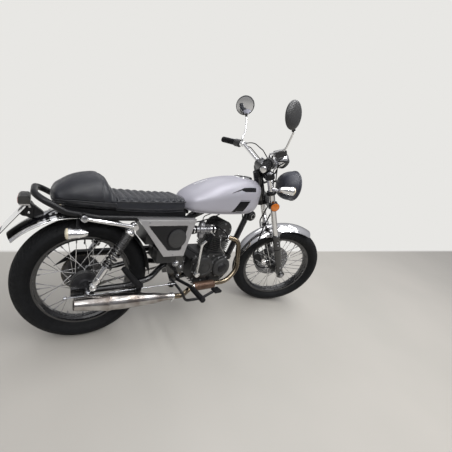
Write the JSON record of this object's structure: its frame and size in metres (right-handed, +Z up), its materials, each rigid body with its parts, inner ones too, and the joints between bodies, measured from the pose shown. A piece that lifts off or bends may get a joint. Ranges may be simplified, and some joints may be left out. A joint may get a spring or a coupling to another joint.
{
  "type": "cafe racer motorcycle",
  "caption": "Small cafe racer motorcycle leaning on its side stand, with a humped bench seat, rounded tank, chrome fenders, wire wheels and a long low silencer.",
  "frame": {"origin": "on the floor, under the middle of the bounding box", "axes": "+X forward, +Y to the left of the rider, +Z up"},
  "size_m": [1.915, 0.7776, 1.2985],
  "materials": {
    "black_frame": "gloss",
    "black_plastic": "satin",
    "black_vinyl": "satin vinyl",
    "silver_paint": "metallic gloss",
    "chrome": "polished",
    "black_steel": "satin",
    "engine_black": "satin",
    "cast_aluminium": "cast",
    "plain_steel": "machined",
    "rubber": "matt",
    "tyre": "matt",
    "lamp_red": "gloss",
    "plate_white": "gloss",
    "amber": "gloss",
    "clear_glass": "clear",
    "mirror_shell": "gloss"
  },
  "bodies": {
    "frame": {"main_frame": "black_frame", "seat_rails": "black_frame", "swingarm": "black_frame", "shocks": "chrome", "shock_springs": "black_steel", "side_bars": "chrome", "seat_pad": "black_vinyl", "seat_hump": "black_vinyl", "fuel_tank": "silver_paint", "fuel_cap": "chrome", "side_panels": "silver_paint", "panel_insets": "black_plastic", "air_box": "black_plastic", "rear_fender": "chrome", "inner_mudguard": "black_plastic", "number_plate": "plate_white", "plate_bracket": "black_frame", "tail_lamp": "lamp_red", "rear_indicators": "chrome", "crankcase": "engine_black", "engine_covers": "engine_black", "engine_cylinder": "engine_black", "carburettor": "cast_aluminium", "kick_starter": "chrome", "header_pipe": "chrome", "muffler": "chrome", "foot_pegs": "rubber", "foot_levers": "black_frame", "horn": "black_frame", "chain": "plain_steel", "chain_guard": "black_frame", "rear_brake": "black_steel", "rear_axle": "plain_steel", "stand_bracket": "black_frame"},
    "fork": {"yokes": "black_frame", "fork_tubes": "chrome", "fork_sliders": "black_frame", "handlebar": "chrome", "grips": "black_plastic", "hand_levers": "cast_aluminium", "mirror_heads": "mirror_shell", "headlight": "black_plastic", "headlight_glass": "clear_glass", "instrument": "black_plastic", "front_fender": "chrome", "front_indicators": "chrome", "reflectors": "amber", "caliper": "black_frame", "front_axle": "plain_steel", "front_cables": "rubber"},
    "front_wheel": {"front_tyre": "tyre", "front_rim": "black_steel", "front_hub": "cast_aluminium", "brake_disc": "plain_steel"},
    "rear_wheel": {"rear_tyre": "tyre", "rear_rim": "black_steel", "rear_hub": "cast_aluminium", "rear_sprocket": "plain_steel"},
    "side_stand": {"side_stand": "black_frame"}
  },
  "joints": [
    {"name": "steering", "type": "hinge", "parent": "frame", "child": "fork", "pos_m": [0.64487, -0.106, 0.28291], "axis": [-0.4394, 0.1251, 0.8896], "range_deg": [-16, 60]},
    {"name": "front_wheel_spin", "type": "hinge", "parent": "fork", "child": "front_wheel", "pos_m": [0.67402, -0.11701, 0.29885], "axis": [0.3367, 0.941, 0.034], "continuous": true},
    {"name": "rear_wheel_spin", "type": "hinge", "parent": "frame", "child": "rear_wheel", "pos_m": [-0.61771, -0.10081, 0.31846], "axis": [0.0002, 0.9903, -0.1392], "continuous": true},
    {"name": "stand_fold", "type": "hinge", "parent": "frame", "child": "side_stand", "pos_m": [-0.02159, -0.00312, 0.20947], "axis": [0.1265, 0.798, 0.5892], "range_deg": [0, 92]}
  ]
}
